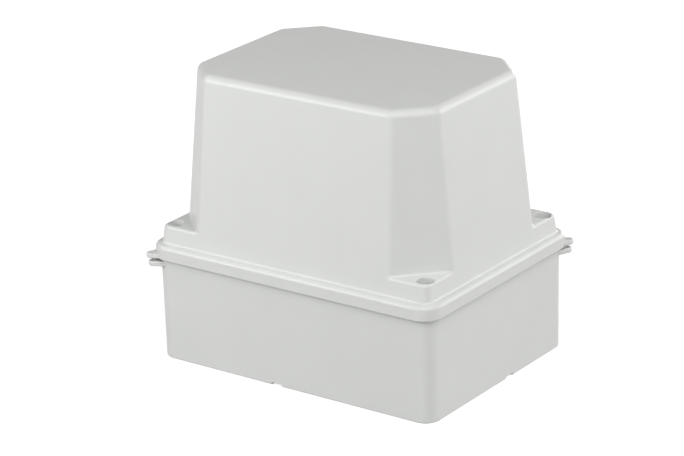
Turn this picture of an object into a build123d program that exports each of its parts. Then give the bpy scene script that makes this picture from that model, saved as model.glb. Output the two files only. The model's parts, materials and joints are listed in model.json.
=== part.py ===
from build123d import *
import os
from math import radians, sqrt, tan

# Waterproof junction box with a deep tapered lid, in millimetres.
# X runs along the long side, Z is up, and the origin is the middle of the underside.

# Base
base_length = 154.0
base_width = 114.0
base_height = 49.9
base_draft_angle = 0.4
base_corner_radius = 7.5
base_bottom_bevel = 0.8
wall = 2.5
floor_thickness = 2.8

# Lid flange
flange_gap = 0.2
flange_overhang = 2.3
flange_height = 6.9
flange_top_radius = 2.0
shelf_width = 4.1

# Lid tower
tower_height = 83.0
tower_draft_angle = 5.85
tower_corner_radius = 4.2
tower_edge_radius = 3.2
tower_top_radius = 3.0
tower_inner_radius = 2.8
chamfer_leg_low = 21.0
chamfer_leg_top = 14.0
platform_height = 8.5
platform_rim_bevel = 1.0

# Seal between base and lid
seal_rib = 0.9
seal_bend_radius = 6.0
groove_width = 2.2
groove_depth = 4.3
tongue_thickness = 1.6
gasket_height = 1.4
gasket_side_clearance = 0.15

# Lid screws, their wells in the lid and their bores in the base
screw_inset_x = 5.4
screw_inset_y = 6.6
screw_well_diameter = 7.9
screw_well_depth = 9.0
screw_head_clearance = 0.35
screw_head_height = 3.2
screw_slot_width = 1.2
screw_slot_depth = 1.6
screw_shank_diameter = 4.0
screw_shank_clearance = 0.3
screw_engagement = 20.0
bore_end_room = 2.0
column_core_roof = 4.0

# Seal lugs
lid_lug_reach = 4.6
base_lug_reach = 3.8
lug_tip_radius = 2.5
lug_root_radius = 6.0
lug_thickness = 2.4
lug_drop = 1.4
lug_hole_diameter = 2.0

# Notches in the bottom edges
notch_width = 6.0
notch_height = 1.3
notch_depth = 1.6
notch_offset = 8.5

# Wall-fixing holes in the floor
fixing_spacing_x = 125.0
fixing_spacing_y = 65.0
fixing_hole_diameter = 4.5

# Levels above the underside
flange_bottom = base_height + flange_gap
shelf = flange_bottom + flange_height
platform = shelf + platform_height
top = shelf + tower_height
groove_roof = flange_bottom + groove_depth
gasket_bottom = groove_roof - gasket_height
well_floor = platform - screw_well_depth
head_top = well_floor + screw_head_height
screw_tip = flange_bottom - screw_engagement
bore_end = screw_tip - bore_end_room
column_core_top = bore_end - column_core_roof

# Plan of the outside
base_shrink = 2 * base_height * tan(radians(base_draft_angle))
foot_length = base_length - base_shrink
foot_width = base_width - base_shrink
flange_length = base_length + 2 * flange_overhang
flange_width = base_width + 2 * flange_overhang
flange_corner_radius = base_corner_radius + flange_overhang
tower_length = flange_length - 2 * shelf_width
tower_width = flange_width - 2 * shelf_width
lug_centre_x = base_length / 2 - base_corner_radius
lug_centre_y = base_width / 2 - base_corner_radius

# Chamfer planes of the tower, each held as the sum of X and Y on it at a level
tower_slope = tan(radians(tower_draft_angle))
tower_sum = (tower_length + tower_width) / 2
platform_sum = tower_sum - 2 * platform_height * tower_slope - chamfer_leg_low
top_sum = tower_sum - 2 * tower_height * tower_slope - chamfer_leg_top
chamfer_slope = (platform_sum - top_sum) / (top - platform)

# Screw axes
screw_spacing_x = tower_length - 2 * screw_inset_x
screw_spacing_y = tower_width - 2 * screw_inset_y
screw_passage_diameter = screw_shank_diameter + 2 * screw_shank_clearance
screw_head_diameter = screw_well_diameter - 2 * screw_head_clearance

# Mouth of the hollow lid, and the seal loop's centre line round it
mouth_growth = 2 * flange_height * tower_slope - 2 * wall
mouth_length = tower_length + mouth_growth
mouth_width = tower_width + mouth_growth
mouth_sum = platform_sum + chamfer_slope * (platform - flange_bottom) - wall * sqrt(2)
mouth_leg = (mouth_length + mouth_width) / 2 - mouth_sum
seal_outset = seal_rib + groove_width / 2
seal_length = mouth_length + 2 * seal_outset
seal_width = mouth_width + 2 * seal_outset
seal_leg = mouth_leg + seal_outset * (2 - sqrt(2))
tongue_inset = tongue_thickness / 2

# Each corner as its name and its sides along X and Y
CORNERS = [
    ("front_left", -1, -1),
    ("front_right", 1, -1),
    ("back_left", -1, 1),
    ("back_right", 1, 1),
]
FROM_BELOW = (Align.CENTER, Align.CENTER, Align.MIN)


def at_corners(piece, spacing_x, spacing_y):
    """Four copies of a piece at the corners of a rectangle."""
    return [Pos(x * spacing_x / 2, y * spacing_y / 2, 0) * piece for _, x, y in CORNERS]


def at_screws(piece):
    """Four copies of a piece on the lid screws' axes."""
    return at_corners(piece, screw_spacing_x, screw_spacing_y)


def upright(diameter, low, high):
    """Round bar on the Z axis between two levels."""
    return Pos(0, 0, low) * Cylinder(diameter / 2, high - low, align=FROM_BELOW)


def rises(edge):
    """True for an edge that runs from one level to another."""
    return abs(edge.tangent_at(0.5).Z) > 0.5


def bottom_edges(piece):
    """Edges of the lowest face."""
    return piece.faces().sort_by(Axis.Z)[0].edges()


def top_edges(piece):
    """Edges of the highest face."""
    return piece.faces().sort_by(Axis.Z)[-1].edges()


def seal_outline(inset):
    """Area inside the seal loop's centre line, with every side moved in by the inset."""
    plan = Rectangle(seal_length - 2 * inset, seal_width - 2 * inset)
    plan = chamfer(plan.vertices(), seal_leg - inset * (2 - sqrt(2)))
    return fillet(plan.vertices(), seal_bend_radius - inset)


def seal_band(band_width, low, high):
    """Ring of the given width that follows the seal loop from one level to another."""
    ring = seal_outline(-band_width / 2) - seal_outline(band_width / 2)
    return extrude(Pos(0, 0, low) * ring, high - low)


def seal_lugs(low, reach):
    """Pointed ears with a wire hole, on the front-left and the back-right corner, reaching past the flange."""
    tip = Pos(flange_corner_radius + reach - lug_tip_radius, 0, 0)
    outline = make_hull(Circle(lug_root_radius).edges() + (tip * Circle(lug_tip_radius)).edges())
    ear = extrude(Pos(0, 0, low) * outline, lug_thickness)
    ear -= tip * upright(lug_hole_diameter, low, low + lug_thickness)
    back_right = Pos(lug_centre_x, lug_centre_y, 0) * Rot(0, 0, 45) * ear
    return [back_right, Rot(0, 0, 180) * back_right]


def tapered_block(length, width, low, high):
    """Block with four sides that slope as the tower's do, its plan given at the lower level."""
    return extrude(Pos(0, 0, low) * Rectangle(length, width), high - low, taper=tower_draft_angle)


def corner_wedges(inset):
    """Everything outside the tower's four chamfer planes, the planes moved in by the inset."""
    def reach(level):
        return (platform_sum - chamfer_slope * (level - platform)) / sqrt(2) - inset

    low = base_height
    high = top + wall
    far = flange_length
    section = Polyline((reach(low), low), (far, low), (far, high), (reach(high), high), close=True)
    wedges = []
    for _, x, y in CORNERS:
        diagonal = Vector(x, y, 0).normalized()
        across = Plane(origin=(0, 0, 0), x_dir=diagonal, z_dir=diagonal.cross(Vector(0, 0, 1)))
        wedges.append(extrude(across * make_face(section), flange_width, both=True))
    return wedges


def make_tower():
    """Outside of the tower: an octagon with a rounded edge, and the tier of screw platforms at its foot."""
    tower = tapered_block(tower_length, tower_width, shelf, top) - corner_wedges(0)
    tower = fillet(tower.edges().filter_by(rises), tower_edge_radius)
    tower = fillet(top_edges(tower), tower_top_radius)
    tier = tapered_block(tower_length, tower_width, shelf, platform)
    tier = fillet(tier.edges().filter_by(rises), tower_corner_radius)
    return tower + chamfer(top_edges(tier), platform_rim_bevel)


def make_lid_hollow():
    """Space inside the lid, one wall smaller than the tower and open downwards."""
    hollow = tapered_block(mouth_length, mouth_width, flange_bottom, top - wall) - corner_wedges(wall)
    return fillet(hollow.edges().filter_by(rises), tower_inner_radius)


def make_lid():
    """Flange, tower, screw wells, gasket groove and seal lugs in one moulding."""
    plan = RectangleRounded(flange_length, flange_width, flange_corner_radius)
    flange = extrude(Pos(0, 0, flange_bottom) * plan, flange_height)
    flange = fillet(top_edges(flange), flange_top_radius)
    lid = flange + make_tower() + seal_lugs(flange_bottom, lid_lug_reach)
    lid -= make_lid_hollow()
    lid -= seal_band(groove_width, flange_bottom, groove_roof)
    lid -= at_screws(upright(screw_well_diameter, well_floor, platform))
    lid -= at_screws(upright(screw_passage_diameter, flange_bottom, well_floor))
    return lid


def notches():
    """Short cuts in the four bottom edges, the same after half a turn."""
    def notch(length, width):
        return Box(length, width, notch_height, align=FROM_BELOW)

    front = Pos(-notch_offset, -foot_width / 2, 0) * notch(notch_width, 2 * notch_depth)
    right = Pos(foot_length / 2, notch_offset, 0) * notch(2 * notch_depth, notch_width)
    half_turn = Rot(0, 0, 180)
    return [front, right, half_turn * front, half_turn * right]


def column_cores():
    """Pockets that hollow the corner columns out from the underside."""
    inside = RectangleRounded(foot_length - 2 * wall, foot_width - 2 * wall, base_corner_radius - wall)
    return extrude(inside - seal_outline(tongue_inset - wall), column_core_top)


def make_base():
    """Drafted tray with corner columns, sealing tongue, seal lugs and fixing holes in one moulding."""
    plan = RectangleRounded(foot_length, foot_width, base_corner_radius)
    base = extrude(plan, base_height, taper=-base_draft_angle)
    base = chamfer(bottom_edges(base), base_bottom_bevel)
    base += seal_lugs(base_height - lug_drop - lug_thickness, base_lug_reach)
    base += seal_band(tongue_thickness, base_height, gasket_bottom)
    cavity = Pos(0, 0, floor_thickness) * seal_outline(tongue_inset)
    base -= extrude(cavity, gasket_bottom - floor_thickness)
    base -= column_cores()
    base -= notches()
    base -= at_screws(upright(screw_passage_diameter, bore_end, base_height))
    fixing_hole = upright(fixing_hole_diameter, 0, floor_thickness)
    base -= at_corners(fixing_hole, fixing_spacing_x, fixing_spacing_y)
    return base


def make_gasket():
    """Closed seal loop that lies against the roof of the lid's groove."""
    return seal_band(groove_width - 2 * gasket_side_clearance, gasket_bottom, groove_roof)


def make_screw():
    """Lid screw with a slotted head and a plain shank, standing on the Z axis."""
    head = upright(screw_head_diameter, well_floor, head_top)
    shank = upright(screw_shank_diameter, screw_tip, well_floor)
    slot = Pos(0, 0, head_top) * Box(screw_head_diameter, screw_slot_width, 2 * screw_slot_depth)
    return head + shank - slot


os.makedirs("parts", exist_ok=True)
export_step(make_base(), "parts/base.step")
export_step(make_lid(), "parts/lid.step")
export_step(make_gasket(), "parts/gasket.step")
for (name, _, _), screw in zip(CORNERS, at_screws(make_screw())):
    export_step(screw, f"parts/lid_screw_{name}.step")
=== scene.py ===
import json
import logging
import math
from collections.abc import Callable
from dataclasses import dataclass, field
from enum import Enum

import bpy
import numpy as np
from mathutils import Matrix, Vector
from mathutils.geometry import delaunay_2d_cdt


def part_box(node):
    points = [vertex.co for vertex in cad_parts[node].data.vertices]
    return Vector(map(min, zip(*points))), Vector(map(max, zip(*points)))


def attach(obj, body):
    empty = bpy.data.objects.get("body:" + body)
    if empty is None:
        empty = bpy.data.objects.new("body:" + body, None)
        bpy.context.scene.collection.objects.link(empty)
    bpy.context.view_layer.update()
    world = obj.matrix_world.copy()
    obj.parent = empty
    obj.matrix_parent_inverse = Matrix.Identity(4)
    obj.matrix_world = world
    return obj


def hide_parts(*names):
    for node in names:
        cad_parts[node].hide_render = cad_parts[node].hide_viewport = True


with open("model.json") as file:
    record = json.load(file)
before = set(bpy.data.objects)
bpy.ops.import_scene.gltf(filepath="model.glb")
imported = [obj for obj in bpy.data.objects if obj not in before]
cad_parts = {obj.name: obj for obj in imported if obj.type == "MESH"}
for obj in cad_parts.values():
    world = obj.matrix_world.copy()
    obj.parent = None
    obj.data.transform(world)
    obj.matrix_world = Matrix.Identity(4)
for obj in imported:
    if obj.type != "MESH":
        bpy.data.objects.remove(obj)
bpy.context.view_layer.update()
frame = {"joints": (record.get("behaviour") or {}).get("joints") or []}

# Looks of a waterproof junction box with a deep tapered lid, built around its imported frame.
# Sizes are in millimetres and angles in degrees, and meshes are turned into metres as they are made.

log = logging.getLogger("junction_box")

Array = np.ndarray
Colour = tuple[float, float, float]
Socket = bpy.types.NodeSocket
Inputs = dict[str | int, float | tuple[float, ...] | Socket]
MM = 0.001
WHITE = (1.0, 1.0, 1.0, 1.0)

# Divisions along a corner curve: each straight run, each half bend, and the flat between the bends
RUN = 12
BEND = 10
FACET = 12
CORNER_POINTS = 2 * (RUN + BEND) + FACET + 1
# Columns on a straight side that has nothing let into it
SIDE = 9
# Divisions round a quarter of a small rounded edge, and round a screw hole
EDGE = 6
ROUND = 64
# Least distance of a face's inner points from its border
CLEARANCE = 0.1
# How much a face's straight edges are bowed while it is divided, so that no three points lie on a line
BOW = 2e-6
# Distance within which two points of a face are taken as one while it is divided
SAME_POINT = 1e-7
# Kind of division: triangles over the whole hull, of which those outside the loops are then dropped
WHOLE_HULL = 0
# Decimal places to which points have to agree to be welded
WELD_DECIMALS = 6
# Edges that bend more than this stay sharp
CREASE = 30.0
# Halvings with which a point is brought onto the platforms' rounded rim
HALVINGS = 39

HALF_BEND = math.tan(math.radians(22.5))
DIAGONAL = math.sqrt(2.0)


class Corner(Enum):
    """A corner of the box, as its sides along X and Y."""

    FRONT_LEFT = (-1, -1)
    FRONT_RIGHT = (1, -1)
    BACK_LEFT = (-1, 1)
    BACK_RIGHT = (1, 1)

    @property
    def label(self) -> str:
        """The corner's name as nodes and bodies spell it."""
        return self.name.lower()


LUG_CORNERS = (Corner.FRONT_LEFT, Corner.BACK_RIGHT)


class Facing(Enum):
    """The way that a face looks."""

    UP = 1
    DOWN = -1


def column(values: float | Array) -> Array:
    """A number or a row of numbers as a column, one entry a level."""
    return np.atleast_1d(np.asarray(values, dtype=float))[:, None]


def quarter(start: float = 0.0, end: float = 90.0, steps: int = EDGE) -> Array:
    """Angles of a rounded edge in radians, evenly spaced from start to end in degrees."""
    return np.radians(np.linspace(start, end, steps + 1))


def edge_steps(radius: float) -> tuple[Array, Array]:
    """A rounded edge's two distances: r (1 - sin a), falling to 0, and r (1 - cos a), growing to r."""
    turn = quarter()
    return radius * (1 - np.sin(turn)), radius * (1 - np.cos(turn))


def lift(plan: Array, levels: Array) -> Array:
    """Plan points, (rows, columns, 2), with the level of each row added as Z."""
    return np.dstack([plan, np.broadcast_to(column(levels), plan.shape[:2])])


def circle(centre: tuple[float, float], radii: Array) -> Array:
    """Circles about one centre, counter-clockwise from above.

    Args:
        centre: plan place of the centre.
        radii: one radius for each row.

    Returns:
        (rows, columns, 2) points: centre plus radius times (cosine, sine) of evenly spaced angles.
    """
    angle = np.arange(ROUND) * (2 * np.pi / ROUND)
    return np.dstack([
        centre[0] + column(radii) * np.cos(angle),
        centre[1] + column(radii) * np.sin(angle),
    ])


@dataclass(frozen=True)
class CornerCurve:
    """One corner of an outline at one or more levels.

    Both arrays are (levels, points): the distance of each point from the sharp corner along the X side
    and along the Y side, on the way from the X side to the Y side.
    """

    along_x: Array
    along_y: Array

    @classmethod
    def rounded(cls, reach: float | Array, radius: float | Array) -> "CornerCurve":
        """A quarter round with a straight run before and after it.

        Args:
            reach: distance from the sharp corner at which the curve starts and ends.
            radius: radius of the quarter round.

        Returns:
            The curve: r (1 - sin a) along X and r (1 - cos a) along Y, for a from 0 to 90 degrees.
        """
        reach, radius = np.broadcast_arrays(column(reach), column(radius))
        share = np.arange(RUN) / RUN
        run = reach + (radius - reach) * share
        still = np.zeros_like(run)
        angle = quarter(steps=2 * BEND + FACET)
        bend_x = radius * (1 - np.sin(angle))
        bend_y = radius * (1 - np.cos(angle))
        return cls(
            np.hstack([run, bend_x, still]),
            np.hstack([still, bend_y, run[:, ::-1]]),
        )

    @classmethod
    def chamfered(cls, leg: float | Array, radius: float | Array) -> "CornerCurve":
        """A 45 degree cut whose two edges are rounded, from where the first rounding starts.

        Args:
            leg: distance from the sharp corner at which the cut would meet each side.
            radius: radius of the rounding at both ends of the cut.

        Returns:
            The curve: an eighth round tangent to the X side, a straight cut, and its mirror image.
        """
        leg, radius = np.broadcast_arrays(column(leg), column(radius))
        start = leg + radius * HALF_BEND
        angle = quarter(0.0, 45.0, BEND)[:-1]
        run = np.repeat(start, RUN, axis=1)
        first_x = np.hstack([run, start - radius * np.sin(angle)])
        first_y = np.hstack([np.zeros_like(run), radius * (1 - np.cos(angle))])
        near = radius * (1 - math.cos(math.pi / 4))
        share = np.arange(FACET + 1) / FACET
        cut_x = (leg - near) + (2 * near - leg) * share
        return cls(
            np.hstack([first_x, cut_x, first_y[:, ::-1]]),
            np.hstack([first_y, leg - cut_x, first_x[:, ::-1]]),
        )


@dataclass(frozen=True)
class SideMarks:
    """Places of the columns on an outline's straight sides, along X and along Y."""

    along_x: Array
    along_y: Array

    @classmethod
    def even(cls, reach_x: float, reach_y: float) -> "SideMarks":
        """Evenly spaced columns as far as the given places on both hands of the middle."""
        return cls(np.linspace(-reach_x, reach_x, SIDE), np.linspace(-reach_y, reach_y, SIDE))


def outline(
    half_x: float | Array, half_y: float | Array, corner: CornerCurve, marks: SideMarks
) -> Array:
    """Closed outlines with four alike corners, counter-clockwise from above.

    The half from the front side to the back-right corner is worked out, and the other half is the same
    points after half a turn.

    Args:
        half_x: half the length at each level.
        half_y: half the width at each level.
        corner: the corner curve at each level.
        marks: places of the columns on the straight sides.

    Returns:
        (levels, columns, 2) points.
    """
    far_x = column(half_x) - corner.along_x
    far_y = column(half_y) - corner.along_y
    levels = len(far_x)
    sides_x = np.broadcast_to(marks.along_x, (levels, len(marks.along_x)))
    sides_y = np.broadcast_to(marks.along_y, (levels, len(marks.along_y)))
    end_x = np.broadcast_to(column(half_x), sides_y.shape)
    end_y = np.broadcast_to(column(half_y), sides_x.shape)
    half = np.hstack([
        np.dstack([sides_x, -end_y]),
        np.dstack([far_x, -far_y]),
        np.dstack([end_x, sides_y]),
        np.dstack([far_x[:, ::-1], far_y[:, ::-1]]),
    ])
    return np.hstack([half, -half])


def corner_columns(marks: SideMarks) -> dict[Corner, slice]:
    """Columns of an outline that belong to each corner's curve.

    Args:
        marks: places of the columns on the straight sides.

    Returns:
        The columns of each corner, in their order round the outline.
    """
    first = len(marks.along_x)
    second = first + CORNER_POINTS + len(marks.along_y)
    half = second + CORNER_POINTS
    starts = {
        Corner.FRONT_RIGHT: first,
        Corner.BACK_RIGHT: second,
        Corner.BACK_LEFT: half + first,
        Corner.FRONT_LEFT: half + second,
    }
    return {corner: slice(start, start + CORNER_POINTS) for corner, start in starts.items()}


def enclosed(points: Array, tail: Array, head: Array) -> Array:
    """Whether plan points lie inside closed loops: a level line from each to the right crosses an odd count.

    Args:
        points: (n, 2) plan points.
        tail: (m, 2) start of each of the loops' edges.
        head: (m, 2) end of each edge.

    Returns:
        (n,) true or false.
    """
    spans = (tail[:, 1] > points[:, 1, None]) != (head[:, 1] > points[:, 1, None])
    rise = np.where(tail[:, 1] == head[:, 1], 1.0, head[:, 1] - tail[:, 1])
    cross = tail[:, 0] + (points[:, 1, None] - tail[:, 1]) * (head[:, 0] - tail[:, 0]) / rise
    return np.sum(spans & (cross > points[:, 0, None]), axis=1) % 2 == 1


def link(name: str, data: bpy.types.ID) -> bpy.types.Object:
    """Makes an object in the scene.

    Args:
        name: the object's name.
        data: its mesh, lamp or camera.

    Returns:
        The object.
    """
    made = bpy.data.objects.new(name, data)
    bpy.context.scene.collection.objects.link(made)
    return made


class Skin:
    """Patches that are welded along their shared borders into one closed mesh."""

    def __init__(self) -> None:
        """Starts with no patch."""
        self.points: list[Array] = []
        self.faces: list[Array] = []
        self.size = 0

    def add(self, points: Array, faces: Array) -> None:
        """Takes a patch of triangles.

        Args:
            points: (n, 3) points in millimetres.
            faces: (m, 3) point numbers, counter-clockwise from outside.
        """
        self.points.append(points)
        self.faces.append(faces + self.size)
        self.size += len(points)

    def grid(self, points: Array, inward: bool = False, tube: bool = False) -> None:
        """Takes a patch of rows of points, closed round its columns.

        With columns counter-clockwise from above and rows that go up, faces look outwards.

        Args:
            points: (rows, columns, 3) points.
            inward: turns the faces round.
            tube: joins the last row to the first.
        """
        rows, columns = points.shape[:2]
        number = np.arange(rows * columns).reshape(rows, columns)
        lower = number if tube else number[:-1]
        upper = np.roll(number, -1, axis=0) if tube else number[1:]
        lower_next, upper_next = np.roll(lower, -1, axis=1), np.roll(upper, -1, axis=1)
        below = np.stack([lower, lower_next, upper_next], axis=-1)
        above = np.stack([lower, upper_next, upper], axis=-1)
        faces = np.concatenate([below, above]).reshape(-1, 3)
        self.add(points.reshape(-1, 3), faces[:, ::-1] if inward else faces)

    def flat(self, loops: list[Array], level: float, facing: Facing) -> None:
        """Takes a level face between closed loops of points, of which only X and Y are used."""
        self.sheet(loops, np.empty((0, 2)), lambda plan: np.full(len(plan), level), facing)

    def sheet(
        self, loops: list[Array], inner: Array, level: Callable[[Array], Array], facing: Facing
    ) -> None:
        """Takes a face that has one level over each plan point, between closed loops.

        Args:
            loops: (n, 3) points of each loop, in either direction, of which X and Y are used.
            inner: (n, 2) further plan points, of which those well inside the face are used.
            level: gives the levels of plan points.
            facing: the way that the face looks.
        """
        plans = [loop[:, :2] for loop in loops]
        plans = [plan[np.any(plan != np.roll(plan, 1, axis=0), axis=1)] for plan in plans]
        border = np.concatenate(plans)
        numbers = np.split(np.arange(len(border)), np.cumsum([len(plan) for plan in plans])[:-1])
        edges = np.concatenate([np.column_stack([loop, np.roll(loop, -1)]) for loop in numbers])
        tail, head = border[edges[:, 0]], border[edges[:, 1]]
        gap = np.linalg.norm(inner[:, None] - border, axis=2).min(axis=1)
        plan = np.concatenate([border, inner[enclosed(inner, tail, head) & (gap > CLEARANCE)]])
        bowed = plan * (1 + BOW * np.sum(plan * plan, axis=1, keepdims=True))
        _, _, triangles, sources, *_ = delaunay_2d_cdt(
            bowed.tolist(), edges.tolist(), [], WHOLE_HULL, SAME_POINT
        )
        # Points in one place are merged there, and the first of them stands for the others
        faces = np.array([same[0] for same in sources])[np.array(triangles)]
        faces = faces[enclosed(bowed[faces].mean(axis=1), bowed[edges[:, 0]], bowed[edges[:, 1]])]
        self.add(np.column_stack([plan, level(plan)]), faces[:, ::facing.value])

    def build(self, name: str) -> bpy.types.Object:
        """Welds the patches and makes the object, in metres.

        Args:
            name: name of the object and its mesh.

        Returns:
            The object, linked to the scene.
        """
        points = np.concatenate(self.points)
        place, number = np.unique(np.round(points, WELD_DECIMALS), axis=0, return_inverse=True)
        faces = number.reshape(-1)[np.concatenate(self.faces)]
        faces = faces[np.all(faces != np.roll(faces, 1, axis=1), axis=1)]
        mesh = bpy.data.meshes.new(name)
        mesh.from_pydata((place * MM).tolist(), [], faces.tolist())
        mesh.shade_smooth()
        mesh.set_sharp_from_angle(angle=math.radians(CREASE))
        piece = link(name, mesh)
        normals = piece.modifiers.new("even_normals", "WEIGHTED_NORMAL")
        normals.keep_sharp = True
        return piece


@dataclass
class SealPath:
    """The closed path that the groove, the tongue and the gasket follow, named by its centre line."""

    half_x: float = 75.407
    half_y: float = 55.407
    leg: float = 22.154
    bend_radius: float = 6.0
    marks: SideMarks = field(default_factory=lambda: SideMarks.even(40.0, 22.0))

    def outline(self, inset: Array, marks: SideMarks) -> Array:
        """Outlines at the given distances to the inside of the centre line, one for each row."""
        curve = CornerCurve.chamfered(self.leg - inset * (2 - DIAGONAL), self.bend_radius - inset)
        return outline(self.half_x - inset, self.half_y - inset, curve, marks)


@dataclass
class SealLug:
    """Ear with a wire hole on a corner of a moulding."""

    tip_distance: float
    corner_x: float = 69.5
    corner_y: float = 49.5
    tip_radius: float = 2.5
    root_radius: float = 6.0
    root_distance: float = 5.4
    thickness: float = 2.4
    hole_radius: float = 1.0
    edge_radius: float = 0.55
    hole_edge_radius: float = 0.2
    arc_points: int = 33
    side_points: int = 8

    def add_to(self, skin: Skin, corner: Corner, low: float) -> None:
        """Adds the ear to a moulding's skin as a closed ring round its hole.

        The outline is the tip's arc, which two tangents join to the root. Each row is the outline moved
        towards the hole, or the hole's circle moved towards the outline, at its own level.

        Args:
            skin: the skin that gets the ear.
            corner: the corner that carries it.
            low: level of its underside.
        """
        lean = math.acos((self.root_radius - self.tip_radius) / self.tip_distance)
        angle = np.linspace(-lean, lean, self.arc_points)
        arc = np.column_stack([
            self.tip_distance + self.tip_radius * np.cos(angle), self.tip_radius * np.sin(angle)
        ])
        along = np.array([-math.sin(lean), math.cos(lean)])
        length = (arc[-1, 0] - self.root_distance) / math.sin(lean)
        share = column(np.arange(1, self.side_points + 1) / self.side_points)
        left = arc[-1] + share * length * along
        right = left[::-1] * np.array([1.0, -1.0])
        edge = np.concatenate([arc, left, right])
        centre = np.array([self.tip_distance, 0.0])
        spoke = centre - edge
        spoke /= np.linalg.norm(spoke, axis=1, keepdims=True)
        hole = centre - self.hole_radius * spoke
        high = low + self.thickness
        rest, gain = edge_steps(self.edge_radius)
        hole_rest, hole_gain = edge_steps(self.hole_edge_radius)
        outside = np.concatenate([rest, gain])
        inside = np.concatenate([hole_rest, hole_gain])
        level = np.concatenate([low + gain, high - rest, high - hole_gain, low + hole_rest])
        plan = np.concatenate([
            edge + outside[:, None, None] * spoke,
            hole - inside[:, None, None] * spoke,
        ])
        heading = math.atan2(corner.value[1], corner.value[0])
        cos, sin = math.cos(heading), math.sin(heading)
        place = np.array(corner.value) * np.array([self.corner_x, self.corner_y])
        plan = place + plan @ np.array([[cos, sin], [-sin, cos]])
        skin.grid(lift(plan, level), tube=True)


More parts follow.
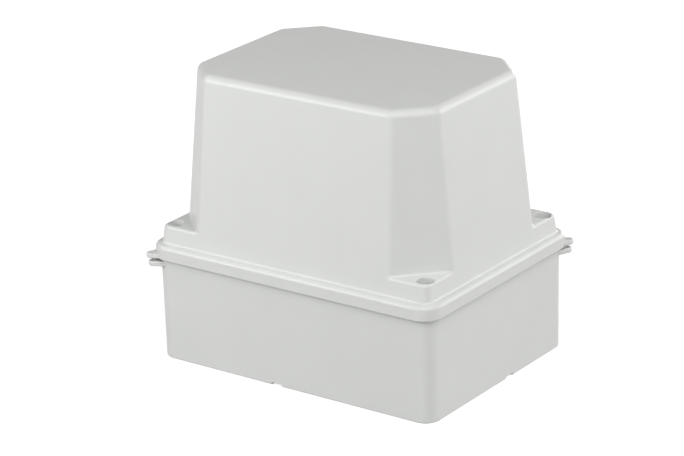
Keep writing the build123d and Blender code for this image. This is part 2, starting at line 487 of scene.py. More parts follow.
@dataclass
class Lid:
    """Deep lid: flange with a shelf, tapered tower with cut corners, screw platforms and a hollow inside."""

    bottom: float
    top: float
    screws: dict[Corner, tuple[float, float]]
    seal: SealPath
    lug: SealLug
    flange_half_x: float = 79.3
    flange_half_y: float = 59.3
    flange_corner_radius: float = 9.8
    flange_height: float = 6.9
    flange_top_radius: float = 2.0
    flange_edge_radius: float = 0.4
    shelf_width: float = 4.1
    foot_radius: float = 0.9
    taper: float = 5.85
    tier_corner_radius: float = 4.2
    tier_height: float = 8.5
    rim_radius: float = 1.35
    leg_low: float = 21.0
    leg_top: float = 15.1
    edge_radius: float = 5.2
    top_radius: float = 3.9
    wall_rows: int = 13
    turn_rows: int = 10
    sink_radius: float = 5.0
    sink_depth: float = 0.08
    sink_end: float = 15.0
    sink_first_ring: float = 0.5
    sink_last_ring: float = 12.5
    sink_rings: int = 14
    platform_foot_radius: float = 1.0
    wall: float = 2.5
    inner_radius: float = 2.8
    roof_radius: float = 1.5
    groove_width: float = 2.2
    groove_depth: float = 4.3
    well_radius: float = 3.95
    well_edge_radius: float = 0.2
    well_depth: float = 9.0
    passage_radius: float = 2.3
    marks: SideMarks = field(default_factory=lambda: SideMarks.even(44.0, 24.0))

    def __post_init__(self) -> None:
        """Works out the levels, slopes and chamfer planes from the sizes."""
        self.shelf = self.bottom + self.flange_height
        self.platform = self.shelf + self.tier_height
        self.slope = math.tan(math.radians(self.taper))
        reach = self.flange_half_x + self.flange_half_y - 2 * self.shelf_width
        self.platform_sum = reach - 2 * self.tier_height * self.slope - self.leg_low
        top_sum = reach - 2 * (self.top - self.shelf) * self.slope - self.leg_top
        self.cut_slope = (self.platform_sum - top_sum) / (self.top - self.platform)
        self.rim_centre = self.platform - self.rim_radius
        self.rim_start = self.rim_centre + self.rim_radius * math.sin(math.radians(self.taper))

    def wall_inset(self, level: float | Array) -> float | Array:
        """Distance of the tower's sloping side from the flange's side at a level."""
        return self.shelf_width + (level - self.shelf) * self.slope

    def cut_sum(self, level: float | Array) -> float | Array:
        """Sum of X and Y on the tower's cut corners at a level."""
        return self.platform_sum - self.cut_slope * (level - self.platform)

    def platform_level(self, plan: Array) -> Array:
        """Level of the screw platforms over plan points: flat, with a rounded rim along the tier's side.

        The depth of a point is its distance from the tier's outline where the rounding starts. Within the
        rim's radius of it, the level falls away on a circle that is tangent to the sloping side.

        Args:
            plan: (n, 2) plan points.

        Returns:
            (n,) levels.
        """
        half = np.array([self.flange_half_x, self.flange_half_y]) - self.wall_inset(self.rim_start)
        past = np.abs(plan) - (half - self.tier_corner_radius)
        outside = np.hypot(np.maximum(past[:, 0], 0.0), np.maximum(past[:, 1], 0.0))
        depth = self.tier_corner_radius - outside - np.minimum(past.max(axis=1), 0.0)
        start = math.cos(math.radians(self.taper))
        cosine = np.clip(start - depth / self.rim_radius, 0.0, start)
        return self.rim_centre + self.rim_radius * np.sqrt(1 - cosine * cosine)

    def rim_points(self, part: slice) -> Array:
        """Plan points on a corner's rounded rim, on outlines that follow the tier's side.

        Args:
            part: the corner's columns.

        Returns:
            (n, 2) plan points.
        """
        turn = quarter(self.taper)[1:]
        depth = self.rim_radius * (math.cos(math.radians(self.taper)) - np.cos(turn))
        inset = self.wall_inset(self.rim_start) + depth
        return self._round_outline(inset, self.tier_corner_radius - depth)[:, part].reshape(-1, 2)

    def skirt(self) -> Array:
        """Flange and tier, from the flange's lower edge to where the platforms' rounded rim starts.

        A profile of insets and levels is carried round the flange's outline.

        Returns:
            (rows, columns, 3) points.
        """
        low_rest, low_gain = edge_steps(self.flange_edge_radius)
        top_rest, top_gain = edge_steps(self.flange_top_radius)
        flange_inset = np.concatenate([low_rest, top_gain])
        flange_level = np.concatenate([self.bottom + low_gain, self.shelf - top_rest])
        flange_corner = self.flange_corner_radius - flange_inset
        foot = self.foot_radius
        turn = quarter(0.0, 90.0 - self.taper)
        tangent = foot * math.tan(math.radians((90.0 - self.taper) / 2))
        foot_inset = self.shelf_width - tangent + foot * np.sin(turn)
        foot_level = self.shelf + foot * (1 - np.cos(turn))
        foot_corner = self.tier_corner_radius + self.wall_inset(foot_level) - foot_inset
        level = np.concatenate([flange_level, foot_level, [self.rim_start]])
        inset = np.concatenate([flange_inset, foot_inset, [self.wall_inset(self.rim_start)]])
        corner = np.concatenate([flange_corner, foot_corner, [self.tier_corner_radius]])
        return lift(self._round_outline(inset, corner), level)

    def _round_outline(self, inset: Array, corner_radius: Array) -> Array:
        """Outlines of the flange moved in, whose round corners start where the tower's rounded edges do.

        Args:
            inset: distance from the flange's sides, one for each row.
            corner_radius: radius of the corners, one for each row.

        Returns:
            (rows, columns, 2) points.
        """
        level = self.rim_start
        sides = self.flange_half_x + self.flange_half_y - 2 * self.wall_inset(level)
        start = self.wall_inset(level) + sides - self.cut_sum(level) + self.edge_radius * HALF_BEND
        curve = CornerCurve.rounded(start - inset, corner_radius)
        return outline(self.flange_half_x - inset, self.flange_half_y - inset, curve, self.marks)

    def _cut_outline(self, inset: Array, cut: Array, radius: Array) -> Array:
        """Eight-sided outlines by side inset, sum of X and Y on the cuts, and edge radius."""
        half_x, half_y = self.flange_half_x - inset, self.flange_half_y - inset
        return outline(half_x, half_y, CornerCurve.chamfered(half_x + half_y - cut, radius), self.marks)

    def _corner_share(self) -> Array:
        """How far each column belongs to a cut corner: 0 on the straight sides, 1 on the cuts.

        On the rounded edge between them it is 3 t^2 - 2 t^3, where t goes evenly from 0 to 1.

        Returns:
            (columns,) shares.
        """
        columns = corner_columns(self.marks)
        index = np.arange(CORNER_POINTS)
        ramp = np.clip((np.minimum(index, index[::-1]) - RUN) / BEND, 0.0, 1.0)
        share = np.zeros(max(part.stop for part in columns.values()))
        for part in columns.values():
            share[part] = ramp * ramp * (3 - 2 * ramp)
        return share

    def tower(self) -> Array:
        """Tower, from the platforms to the edge of its flat top.

        Each row is an eight-sided outline with rounded edges. Its sides and its cut corners lean in at their
        own slopes, flare a little where a cut corner stands on its platform, and turn over at the top on a
        circle. The lowest row goes down to the platforms' rounded rim.

        Returns:
            (rows, columns, 3) points.
        """
        foot = self.platform_foot_radius
        lean = math.degrees(math.atan(self.cut_slope / DIAGONAL))
        turn = quarter(0.0, 90.0 - lean)
        foot_level = self.platform + foot * (1 - np.cos(turn))
        tangent = foot * math.tan(math.radians((90.0 - lean) / 2))
        flare = tangent - foot * np.sin(turn) + (foot_level - self.platform) * self.cut_slope / DIAGONAL
        centre = self.top - self.top_radius
        wall_level = np.linspace(foot_level[-1], centre, self.wall_rows + 1)[1:]
        turn = quarter(self.taper, 90.0, self.turn_rows)
        turn_level = centre + self.top_radius * np.sin(turn)
        level = np.concatenate([foot_level, wall_level, turn_level])
        inset = self.wall_inset(level)
        cut = self.cut_sum(level)
        over = level >= turn_level[0]
        across = self.top_radius * np.cos(np.concatenate([np.zeros(np.sum(~over)), turn]))
        turn_inset = self.wall_inset(centre) + self.top_radius / math.cos(math.radians(self.taper)) - across
        turn_cut = self.cut_sum(centre) - DIAGONAL * (
            self.top_radius / math.cos(math.radians(lean)) - across
        )
        radius = np.where(over, self.edge_radius - (turn_inset - inset), self.edge_radius)
        inset = np.where(over, turn_inset, inset)
        cut = np.where(over, turn_cut, cut)
        flare = np.concatenate([flare, np.zeros(len(level) - len(flare))])
        plain = self._cut_outline(inset, cut, radius)
        flared = self._cut_outline(inset, cut + DIAGONAL * flare, radius)
        points = lift(plain + self._corner_share()[:, None] * (flared - plain), level)
        points[0] = self._foot(points[0, :, :2])
        return points

    def _foot(self, high: Array) -> Array:
        """The tower's lowest row: each point is moved down the wall until it meets the rounded rim.

        The way down to where the rim starts is halved again and again, keeping to the side on which the
        rim is still above the wall.

        Args:
            high: (columns, 2) outline of the tower at the platforms' level.

        Returns:
            (columns, 3) points.
        """
        start = np.array([self.rim_start])
        low = self._cut_outline(self.wall_inset(start), self.cut_sum(start), np.array([self.edge_radius]))[0]
        share = np.zeros(len(high))
        for step in 0.5 ** np.arange(1, HALVINGS + 1):
            trial = share + step
            rim = self.platform_level(low + trial[:, None] * (high - low))
            wall = self.rim_start + trial * (self.platform - self.rim_start)
            share = np.where(rim > wall, trial, share)
        plan = low + share[:, None] * (high - low)
        return np.column_stack([plan, self.platform_level(plan)])

    def hollow(self) -> Array:
        """Inside of the lid, from its mouth to the edge of the roof, one wall in from the tower.

        Its sides and cut corners slope as the tower's do, and turn over to the roof on a circle.

        Returns:
            (rows, columns, 3) points.
        """
        roof = self.top - self.wall
        turn = quarter(self.taper)
        centre = roof - self.roof_radius
        level = np.concatenate([[self.bottom], centre + self.roof_radius * np.sin(turn)])
        over = np.arange(len(level)) > 0
        across = self.roof_radius * (1 - np.cos(np.concatenate([[0.0], turn])))
        inset = np.where(over, self.wall_inset(centre) + across, self.wall_inset(level)) + self.wall
        cut = np.where(over, self.cut_sum(centre) - DIAGONAL * across, self.cut_sum(level))
        radius = self.inner_radius - np.where(over, across, 0.0)
        return lift(self._cut_outline(inset, cut - DIAGONAL * self.wall, radius), level)

    def groove(self) -> Array:
        """Channel for the gasket: up its outer wall, over its roof and down its inner wall.

        Returns:
            (rows, columns, 3) points.
        """
        half = self.groove_width / 2
        roof = self.bottom + self.groove_depth
        rows = self.seal.outline(np.array([-half, -half, half, half]), self.marks)
        return lift(rows, np.array([self.bottom, roof, roof, self.bottom]))

    def top_level(self, plan: Array) -> Array:
        """Levels of the top: flat, less a bell curve of the distance from its middle, the sink mark."""
        away = np.hypot(*plan.T)
        return self.top - self.sink_depth * np.exp(-(away / self.sink_radius)**2) * (away < self.sink_end)

    def well(self, centre: tuple[float, float]) -> Array:
        """Screw well: rounded mouth, wall, floor and the narrower passage down to the underside.

        Args:
            centre: plan place of the screw.

        Returns:
            (rows, columns, 3) points.
        """
        floor = self.platform - self.well_depth
        rest, gain = edge_steps(self.well_edge_radius)
        radius = np.concatenate([
            self.well_radius + rest, [self.well_radius, self.passage_radius, self.passage_radius]
        ])
        plan = circle(centre, radius)
        mouth = self.platform_level(plan[0]) - column(gain)
        below = np.broadcast_to(column([floor, floor, self.bottom]), (3, ROUND))
        return np.dstack([plan, np.concatenate([mouth, below])])

    def build(self) -> bpy.types.Object:
        """Welds the lid's patches into one piece.

        Returns:
            The lid's object.
        """
        skin = Skin()
        skirt, tower, hollow, groove = self.skirt(), self.tower(), self.hollow(), self.groove()
        wells = {corner: self.well(centre) for corner, centre in self.screws.items()}
        skin.grid(skirt)
        skin.grid(tower)
        skin.grid(hollow, inward=True)
        skin.grid(groove, inward=True)
        for corner, part in corner_columns(self.marks).items():
            skin.grid(wells[corner])
            edge = np.concatenate([skirt[-1, part], tower[0, part][::-1]])
            skin.sheet([edge, wells[corner][0]], self.rim_points(part), self.platform_level, Facing.UP)
        radii = np.linspace(self.sink_first_ring, self.sink_last_ring, self.sink_rings)
        rings = circle((0.0, 0.0), radii).reshape(-1, 2)
        skin.sheet([tower[-1]], rings, self.top_level, Facing.UP)
        skin.flat([hollow[-1]], self.top - self.wall, Facing.DOWN)
        mouths = [skirt[0], groove[0], groove[-1], hollow[0]] + [well[-1] for well in wells.values()]
        skin.flat(mouths, self.bottom, Facing.DOWN)
        for corner in LUG_CORNERS:
            self.lug.add_to(skin, corner, self.bottom)
        return skin.build("lid_moulding")


@dataclass
class Base:
    """Tray with drafted walls, corner columns, a sealing tongue, fixing holes and edge notches."""

    screws: dict[Corner, tuple[float, float]]
    seal: SealPath
    lug: SealLug
    height: float = 49.9
    foot_half_x: float = 76.652
    foot_half_y: float = 56.652
    corner_radius: float = 7.5
    corner_reach: float = 26.0
    draft: float = 0.4
    bottom_radius: float = 0.8
    rim_radius: float = 0.3
    wall: float = 2.5
    floor: float = 2.8
    floor_radius: float = 1.2
    tongue_thickness: float = 1.6
    tongue_height: float = 3.1
    tongue_edge_radius: float = 0.25
    bore_radius: float = 2.3
    bore_end: float = 28.1
    core_top: float = 24.1
    lug_drop: float = 1.4
    notch_width: float = 6.0
    notch_height: float = 1.3
    notch_depth: float = 1.6
    notch_offset: float = 8.5
    marks_x: tuple[float, ...] = (-40.0, -20.0, 20.0, 40.0)
    marks_y: tuple[float, ...] = (-20.0, -10.0, 16.0, 22.0)
    fixing_x: float = 62.5
    fixing_y: float = 32.5
    fixing_radius: float = 2.25

    def __post_init__(self) -> None:
        """Sets out the columns on the sides: two at each end of a notch, so that its walls stand upright."""
        half = self.notch_width / 2
        ends = np.repeat([self.notch_offset - half, self.notch_offset + half], 2)
        self.marks = SideMarks(np.sort([*self.marks_x, *-ends]), np.sort([*self.marks_y, *ends]))
        # The two columns in the middle of a side's eight are those that move into the wall
        self.notched = np.repeat([0.0, 1.0, 0.0], (3, 2, 3))

    def shell(self) -> Array:
        """Outer wall from the underside to the rim, with a notch let into each bottom edge.

        A profile of insets and levels is carried round the outline, which grows upwards with the draft.
        Columns inside a notch are moved in on every row below the notch's roof.

        Returns:
            (rows, columns, 3) points.
        """
        low_rest, low_gain = edge_steps(self.bottom_radius)
        rim_rest, rim_gain = edge_steps(self.rim_radius)
        level = np.concatenate([low_gain, [self.notch_height] * 2, self.height - rim_rest])
        inset = np.concatenate([low_rest, [0.0, 0.0], rim_gain])
        grow = level * math.tan(math.radians(self.draft)) - inset
        curve = CornerCurve.rounded(self.corner_reach + grow, self.corner_radius + grow)
        plan = outline(self.foot_half_x + grow, self.foot_half_y + grow, curve, self.marks)
        below = np.arange(len(level)) <= len(low_gain)
        bend = np.zeros(CORNER_POINTS)
        side = np.zeros(len(self.notched))
        inward_x = np.concatenate([side, bend, -self.notched, bend])
        inward_y = np.concatenate([self.notched, bend, side, bend])
        half = np.column_stack([inward_x, inward_y])
        move = self.notch_depth * np.concatenate([half, -half])
        return lift(plan + below[:, None, None] * move, level)

    def tongue_and_cavity(self) -> Array:
        """Up the tongue's outside, over its top, and down the cavity's wall to the floor.

        Returns:
            (rows, columns, 3) points.
        """
        half = self.tongue_thickness / 2
        top = self.height + self.tongue_height
        rest, gain = edge_steps(self.tongue_edge_radius)
        floor_rest, floor_gain = edge_steps(self.floor_radius)
        inset = np.concatenate([[-half], -half + gain, half - rest, half + floor_gain])
        level = np.concatenate([[self.height], top - rest, top - gain, self.floor + floor_rest])
        return lift(self.seal.outline(inset, self.seal.marks), level)

    def core(self, corner: Corner) -> Array:
        """Pocket in a corner column, as its outline at the underside and at its roof.

        It follows the inside of the outer walls round the corner, and a wall's thickness from the cavity
        it is cut straight across.

        Args:
            corner: the column's corner.

        Returns:
            (2, columns, 3) points.
        """
        half_x, half_y = self.foot_half_x - self.wall, self.foot_half_y - self.wall
        inset = self.tongue_thickness / 2
        cavity_leg = self.seal.leg - inset * (2 - DIAGONAL)
        cavity_sum = self.seal.half_x + self.seal.half_y - 2 * inset - cavity_leg
        leg = half_x + half_y - cavity_sum - self.wall * DIAGONAL
        curve = CornerCurve.rounded(leg, self.corner_radius - self.wall)
        side_x, side_y = corner.value
        plan = np.dstack([side_x * (half_x - curve.along_x), side_y * (half_y - curve.along_y)])
        if side_x * side_y > 0:
            plan = plan[:, ::-1]
        return lift(np.repeat(plan, 2, axis=0), np.array([0.0, self.core_top]))

    def build(self) -> bpy.types.Object:
        """Welds the base's patches into one piece.

        Returns:
            The base's object.
        """
        skin = Skin()
        shell, cavity = self.shell(), self.tongue_and_cavity()
        bore_radii = np.full(2, self.bore_radius)
        fixing_radii = np.full(2, self.fixing_radius)
        underside = [shell[0]]
        rim = [shell[-1], cavity[0]]
        floor = [cavity[-1]]
        skin.grid(shell)
        skin.grid(cavity)
        for corner in Corner:
            core = self.core(corner)
            bore = lift(circle(self.screws[corner], bore_radii), np.array([self.height, self.bore_end]))
            side_x, side_y = corner.value
            place = (side_x * self.fixing_x, side_y * self.fixing_y)
            fixing = lift(circle(place, fixing_radii), np.array([self.floor, 0.0]))
            skin.grid(core, inward=True)
            skin.grid(bore)
            skin.grid(fixing)
            skin.flat([core[1]], self.core_top, Facing.DOWN)
            skin.flat([bore[1]], self.bore_end, Facing.UP)
            underside += [core[0], fixing[1]]
            rim.append(bore[0])
            floor.append(fixing[0])
        skin.flat(rim, self.height, Facing.UP)
        skin.flat(floor, self.floor, Facing.UP)
        skin.flat(underside, 0.0, Facing.DOWN)
        for corner in LUG_CORNERS:
            self.lug.add_to(skin, corner, self.height - self.lug_drop - self.lug.thickness)
        return skin.build("base_moulding")


@dataclass
class Gasket:
    """Soft seal loop in the lid's groove."""

    bottom: float
    top: float
    seal: SealPath
    width: float = 1.9
    edge_radius: float = 0.45

    def build(self) -> bpy.types.Object:
        """A rectangle with rounded corners, carried round the seal path.

        Returns:
            The gasket's object.
        """
        half = self.width / 2
        rest, gain = edge_steps(self.edge_radius)
        inset = np.concatenate([-half + rest, -half + gain, half - rest, half - gain])
        level = np.concatenate([self.bottom + gain, self.top - rest, self.top - gain, self.bottom + rest])
        skin = Skin()
        skin.grid(lift(self.seal.outline(inset, self.seal.marks), level), tube=True)
        return skin.build("gasket_loop")


@dataclass
class LidScrew:
    """Long lid screw with a slotted head and a coarse thread."""

    centre: tuple[float, float]
    tip: float
    head_top: float
    head_height: float = 3.2
    head_radius: float = 3.6
    head_edge_radius: float = 0.5
    slot_width: float = 1.2
    slot_depth: float = 1.6
    shank_radius: float = 2.0
    thread_depth: float = 0.42
    thread_pitch: float = 1.5
    thread_length: float = 18.5
    flank_slope: float = 3.2
    point_length: float = 2.6
    point_radius: float = 0.7
    land_columns: int = 25
    slot_columns: int = 5
    shank_rows: int = 240

    def __post_init__(self) -> None:
        """Works out levels and columns, which are doubled at the slot's sides for upright walls."""
        self.bearing = self.head_top - self.head_height
        self.slot_floor = self.head_top - self.slot_depth
        half_slot = math.asin(self.slot_width / 2 / self.head_radius)
        land = np.linspace(half_slot, math.pi - half_slot, self.land_columns)
        gap = np.linspace(math.pi - half_slot, math.pi + half_slot, self.slot_columns)
        self.angle = np.concatenate([land, gap, land + math.pi, gap + math.pi])
        self.in_slot = np.tile(np.repeat([False, True], (self.land_columns, self.slot_columns)), 2)

    def shank(self) -> tuple[Array, Array]:
        """Threaded shank, as a radius for each level and angle.

        The thread is a ridge with sloping flanks, whose place on the turn goes round once for each pitch of
        height. It fades out over its last pitch, and a cone cuts it off at the point.

        Returns:
            (rows, columns) radii and levels.
        """
        level = column(np.linspace(self.tip, self.bearing, self.shank_rows))
        height = level - self.tip
        phase = (height / self.thread_pitch - self.angle / (2 * np.pi)) % 1.0
        ridge = np.clip(self.flank_slope * (0.5 - np.abs(2 * phase - 1.0)), 0.0, 1.0)
        fade = np.clip((self.thread_length - height) / self.thread_pitch, 0.0, 1.0)
        radius = self.shank_radius - self.thread_depth * fade * (1 - ridge)
        point = self.point_radius + (self.shank_radius - self.point_radius) * height / self.point_length
        return np.minimum(radius, point), np.broadcast_to(level, radius.shape)

    def head(self) -> tuple[Array, Array]:
        """Head from its bearing face to its rounded edge. Columns in the slot stop at the slot's floor.

        Returns:
            (rows, columns) radii and levels.
        """
        rest, gain = edge_steps(self.head_edge_radius)
        level = column(np.concatenate([[self.bearing, self.slot_floor], self.head_top - rest]))
        radius = self.head_radius - column(np.concatenate([[0.0, 0.0], gain]))
        cut = self.in_slot & (level > self.slot_floor)
        return np.where(cut, self.head_radius, radius), np.where(cut, self.slot_floor, level)

    def build(self, name: str) -> bpy.types.Object:
        """Welds shank, head and the faces of tip, slot and top into one piece.

        Args:
            name: name of the object.

        Returns:
            The screw's object.
        """
        radius, level = (np.concatenate(rows) for rows in zip(self.shank(), self.head()))
        points = np.dstack([
            self.centre[0] + radius * np.cos(self.angle), self.centre[1] + radius * np.sin(self.angle), level
        ])
        top = points[-1]
        skin = Skin()
        skin.grid(points)
        skin.flat([points[0]], self.tip, Facing.DOWN)
        skin.flat([top[self.in_slot]], self.slot_floor, Facing.UP)
        for first in (0, self.land_columns + self.slot_columns):
            last = first + self.land_columns - 1
            skin.flat([top[first:last + 1]], self.head_top, Facing.UP)
            skin.add(top[[first, last, last + 1, first - 1]], np.array([[0, 1, 2], [0, 2, 3]]))
        return skin.build(name)


@dataclass(frozen=True)
class Grain:
    """Noise over a piece: cells a metre and octaves, and as bump its share and full height in metres."""

    scale: float
    detail: float
    strength: float = 0.0
    height: float = 0.0


class Recipe:
    """A node material and the few kinds of node that the finishes are mixed from."""

    def __init__(self, name: str) -> None:
        """Starts the material with its shader and the piece's own coordinates.

        Args:
            name: the material's name.
        """
        self.material = bpy.data.materials.new(name)
        self.material.use_nodes = True
        self.nodes = self.material.node_tree.nodes
        self.links = self.material.node_tree.links
        self.shader = self.nodes["Principled BSDF"]
        self.place = self.nodes.new("ShaderNodeTexCoord").outputs["Object"]

    def node(self, kind: str, inputs: Inputs, **options: str) -> bpy.types.Node:
        """Adds a node.

        Args:
            kind: its type.
            inputs: a number, a colour or another node's output for each input, by its name or place.
            options: what it is set to do.

        Returns:
            The node.
        """
        node = self.nodes.new(kind)
        for name, option in options.items():
            setattr(node, name, option)
        for name, value in inputs.items():
            if isinstance(value, Socket):
                self.links.new(value, node.inputs[name])
            else:
                node.inputs[name].default_value = value
        return node

    def noise(self, grain: Grain) -> Socket:
        """Noise over the piece, about 0 to 1."""
        inputs = {"Vector": self.place, "Scale": grain.scale, "Detail": grain.detail}
        return self.node("ShaderNodeTexNoise", inputs).outputs["Fac"]

    def spread(self, value: Socket, low: float, high: float) -> Socket:
        """A value from 0 to 1, carried over to the range from low to high."""
        inputs = {"Value": value, "To Min": low, "To Max": high}
        return self.node("ShaderNodeMapRange", inputs).outputs["Result"]

    def blend(self, share: Socket, dark: Colour, light: Colour) -> Socket:
        """Two colours mixed by the share of the light one."""
        inputs = {"Factor": share, "A": (*dark, 1.0), "B": (*light, 1.0)}
        return self.node("ShaderNodeMix", inputs, data_type="RGBA").outputs["Result"]

    def bump(self, value: Socket, grain: Grain, over: Inputs) -> Socket:
        """The normal, bent as a height field would bend the surface's own or one that is already bent."""
        inputs = {"Height": value, "Strength": grain.strength, "Distance": grain.height, **over}
        return self.node("ShaderNodeBump", inputs).outputs["Normal"]

    def greater(self, one: Socket, other: Socket) -> Socket:
        """The greater of two values."""
        return self.node("ShaderNodeMath", {0: one, 1: other}, operation="MAXIMUM").outputs["Value"]

    def feed(self, name: str, value: Socket) -> None:
        """Links a value to the shader's input of that name."""
        self.links.new(value, self.shader.inputs[name])


@dataclass(frozen=True)
class Finish:
    """Two shades mixed by noise, with finer noise in the roughness and as bump."""

    name: str
    light: Colour
    dark: Colour
    gloss: tuple[float, float]
    mottle: Grain
    sheen: Grain
    bumps: tuple[Grain, ...]
    metallic: float = 0.0
    refraction: float = 1.5

    def material(self) -> bpy.types.Material:
        """Mixes the finish. Each bump bends the normal that the one before it has left.

        Returns:
            The material.
        """
        recipe = Recipe(self.name)
        recipe.feed("Base Color", recipe.blend(recipe.noise(self.mottle), self.dark, self.light))
        recipe.feed("Roughness", recipe.spread(recipe.noise(self.sheen), *self.gloss))
        bent: Inputs = {}
        for grain in self.bumps:
            bent["Normal"] = recipe.bump(recipe.noise(grain), grain, bent)
        recipe.feed("Normal", bent["Normal"])
        recipe.shader.inputs["Metallic"].default_value = self.metallic
        recipe.shader.inputs["IOR"].default_value = self.refraction
        return recipe.material


@dataclass(frozen=True)
class MouldedPlastic(Finish):
    """Semi-gloss moulded plastic: even grey with faint mottling, fine grain and slow waves in its gloss."""

    name: str = "housing_plastic"
    light: Colour = (0.66, 0.67, 0.655)
    dark: Colour = (0.63, 0.64, 0.625)
    gloss: tuple[float, float] = (0.38, 0.46)
    mottle: Grain = Grain(55.0, 3.0)
    sheen: Grain = Grain(420.0, 4.0)
    bumps: tuple[Grain, ...] = (
        Grain(26.0, 1.0, strength=0.25, height=0.0006),
        Grain(2600.0, 2.0, strength=0.06, height=0.00004),
    )


@dataclass(frozen=True)
class SealRubber(Finish):
    """Soft dark seal: matt, with a fine grain."""

    name: str = "seal_rubber"
    light: Colour = (0.055, 0.055, 0.055)
    dark: Colour = (0.035, 0.035, 0.036)
    gloss: tuple[float, float] = (0.6, 0.78)
    mottle: Grain = Grain(160.0, 3.0)
    sheen: Grain = Grain(1400.0, 3.0)
    bumps: tuple[Grain, ...] = (Grain(1400.0, 3.0, strength=0.3, height=0.0001),)


@dataclass(frozen=True)
class PlatedSteel(Finish):
    """Plated steel: satin metal with slight clouding."""

    name: str = "screw_steel"
    light: Colour = (0.66, 0.66, 0.64)
    dark: Colour = (0.54, 0.54, 0.53)
    gloss: tuple[float, float] = (0.24, 0.38)
    mottle: Grain = Grain(300.0, 3.0)
    sheen: Grain = Grain(1800.0, 2.0)
    bumps: tuple[Grain, ...] = (Grain(1800.0, 2.0, strength=0.1, height=0.00005),)
    metallic: float = 1.0


@dataclass(frozen=True)
class FloorPaper:
    """White paper: matt, and seen as white round the object's soft shadow."""

    light: Colour = (0.41, 0.41, 0.41)
    dark: Colour = (0.39, 0.39, 0.39)
    mottle: Grain = Grain(8.0, 2.0)
    glow: float = 0.77

    def material(self) -> bpy.types.Material:
        """Mixes two greys by noise, and adds a white glow for rays that look at it rather than light by it.

        Returns:
            The material.
        """
        recipe = Recipe("floor_paper")
        recipe.feed("Base Color", recipe.blend(recipe.noise(self.mottle), self.dark, self.light))
        rays = recipe.nodes.new("ShaderNodeLightPath").outputs
        seen = recipe.greater(rays["Is Camera Ray"], rays["Is Glossy Ray"])
        seen = recipe.greater(seen, rays["Is Transmission Ray"])
        recipe.feed("Emission Strength", recipe.spread(seen, 0.0, self.glow))
        recipe.shader.inputs["Emission Color"].default_value = WHITE
        recipe.shader.inputs["Roughness"].default_value = 0.9
        recipe.shader.inputs["Specular IOR Level"].default_value = 0.1
        return recipe.material


def bearing(azimuth: float, elevation: float) -> Vector:
    """Direction to a camera or lamp: (sin a cos e, -cos a cos e, sin e) of azimuth a and elevation e."""
    turn, rise = math.radians(azimuth), math.radians(elevation)
    return Vector((math.sin(turn) * math.cos(rise), -math.cos(turn) * math.cos(rise), math.sin(rise)))


@dataclass(frozen=True)
class Viewpoint:
    """The camera's place, fitted to outlines and edges of the object in an image of 684 by 456 pixels.

    Aside and above say how far to the right of the view's middle and above it the object's origin lies.
    """

    image_width: float = 684.0
    focal_pixels: float = 2965.13
    azimuth: float = 36.147
    elevation: float = 20.483
    roll: float = -1.659
    aside: float = 9.838
    above: float = -57.18
    distance: float = 1400.03
    sensor_width: float = 36.0
    nearest: float = 50.0

    def place(self) -> bpy.types.Object:
        """Makes the scene's camera.

        Returns:
            The camera's object.
        """
        roll = math.radians(self.roll)
        back = bearing(self.azimuth, self.elevation)
        level = bearing(self.azimuth + 90.0, 0.0)
        upright = back.cross(level)
        right = math.cos(roll) * level + math.sin(roll) * upright
        up = -math.sin(roll) * level + math.cos(roll) * upright
        spot = (self.distance * back - self.aside * right - self.above * up) * MM
        data = bpy.data.cameras.new("photo_camera")
        data.sensor_width = self.sensor_width
        data.lens = self.focal_pixels * self.sensor_width / self.image_width
        data.clip_start = self.nearest * MM
        camera = link("photo_camera", data)
        camera.matrix_world = Matrix.Translation(spot) @ Matrix((right, up, back)).transposed().to_4x4()
        bpy.context.scene.camera = camera
        return camera


@dataclass(frozen=True)
class SoftLamp:
    """A square studio lamp that looks at the middle of the lid, with its distance and size in metres."""

    name: str
    azimuth: float
    elevation: float
    distance: float
    size: float
    power: float

    def place(self, target: Vector) -> bpy.types.Object:
        """Makes the lamp.

        Args:
            target: the point that it looks at.

        Returns:
            The lamp's object.
        """
        back = bearing(self.azimuth, self.elevation)
        data = bpy.data.lights.new(self.name, "AREA")
        data.size = self.size
        data.energy = self.power
        lamp = link(self.name, data)
        lamp.location = target + self.distance * back
        lamp.rotation_euler = back.to_track_quat("Z", "Y").to_euler()
        return lamp


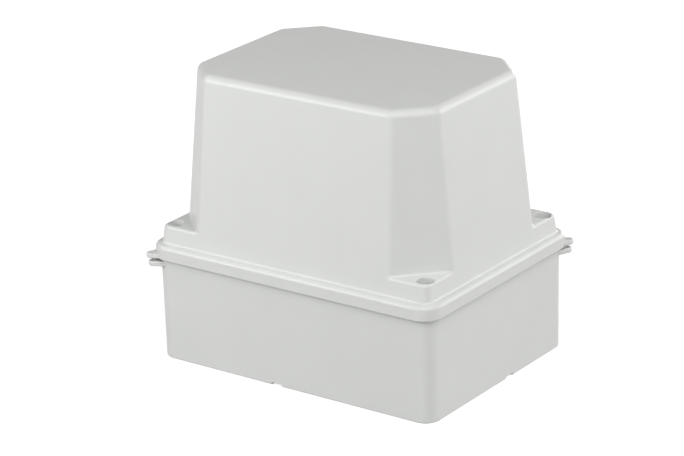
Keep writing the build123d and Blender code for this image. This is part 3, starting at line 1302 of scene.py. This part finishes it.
@dataclass
class Studio:
    """White floor, even surroundings and soft lamps, with the floor's size in metres."""

    floor_size: float = 20.0
    floor_finish: FloorPaper = FloorPaper()
    surroundings: float = 0.15
    lamps: tuple[SoftLamp, ...] = (
        SoftLamp("left_lamp", azimuth=-35.0, elevation=21.0, distance=0.8, size=0.3, power=3.2),
        SoftLamp("near_lamp", azimuth=54.0, elevation=42.0, distance=1.6, size=1.8, power=26.0),
        SoftLamp("right_lamp", azimuth=140.0, elevation=15.0, distance=1.2, size=0.5, power=4.9),
        SoftLamp("back_lamp", azimuth=180.0, elevation=10.0, distance=1.5, size=0.8, power=8.0),
    )

    def build(self, target: Vector) -> None:
        """Makes the floor, the world and the lamps.

        Args:
            target: the point that the lamps look at.
        """
        self._floor()
        self._world()
        for lamp in self.lamps:
            lamp.place(target)
        bpy.context.scene.view_settings.view_transform = "Standard"

    def _floor(self) -> None:
        """A wide level sheet of paper under the object."""
        half = self.floor_size / 2
        mesh = bpy.data.meshes.new("floor")
        corners = [(-half, -half, 0.0), (half, -half, 0.0), (half, half, 0.0), (-half, half, 0.0)]
        mesh.from_pydata(corners, [], [(0, 1, 2, 3)])
        floor = link("floor", mesh)
        mesh.materials.append(self.floor_finish.material())

    def _world(self) -> None:
        """The same soft white light from every side."""
        world = bpy.data.worlds.new("surroundings")
        bpy.context.scene.world = world
        world.use_nodes = True
        background = world.node_tree.nodes["Background"]
        background.inputs["Color"].default_value = WHITE
        background.inputs["Strength"].default_value = self.surroundings


def dress(piece: bpy.types.Object, material: bpy.types.Material, body: str, node: str) -> None:
    """Gives a piece its finish and its place in the frame, and reports it.

    Args:
        piece: the piece.
        material: its finish.
        body: the body that it rides on.
        node: the CAD node that it stands for.
    """
    piece.data.materials.append(material)
    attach(piece, body)
    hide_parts(node)
    log.info("%s: %d triangles on body %s", piece.name, len(piece.data.polygons), body)


def screw_places() -> dict[Corner, tuple[float, float]]:
    """Plan places of the lid screws, from the frame's hinges.

    Returns:
        The place of each corner's screw.
    """
    joints = {joint["name"]: joint for joint in frame["joints"]}
    return {
        corner: tuple(value / MM for value in joints[f"screw_turn_{corner.label}"]["pos_m"][:2])
        for corner in Corner
    }


def main() -> None:
    """Builds the box's pieces, dresses them and sets the studio."""
    logging.basicConfig(level=logging.INFO, format="%(message)s")
    lid_low, lid_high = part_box("lid")
    gasket_low, gasket_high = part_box("gasket")
    screws, seal = screw_places(), SealPath()
    plastic = MouldedPlastic().material()
    rubber = SealRubber().material()
    steel = PlatedSteel().material()
    base = Base(screws, seal, SealLug(tip_distance=11.1))
    dress(base.build(), plastic, "base", "base")
    lid = Lid(lid_low.z / MM, lid_high.z / MM, screws, seal, SealLug(tip_distance=11.9))
    dress(lid.build(), plastic, "lid", "lid")
    gasket = Gasket(gasket_low.z / MM, gasket_high.z / MM, seal)
    dress(gasket.build(), rubber, "lid", "gasket")
    for corner, centre in screws.items():
        low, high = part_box(f"lid_screw_{corner.label}")
        screw = LidScrew(centre, low.z / MM, high.z / MM).build(f"screw_{corner.label}")
        dress(screw, steel, f"screw_{corner.label}", f"lid_screw_{corner.label}")
    Studio().build((lid_low + lid_high) / 2)
    Viewpoint().place()


if __name__ == "__main__":
    main()
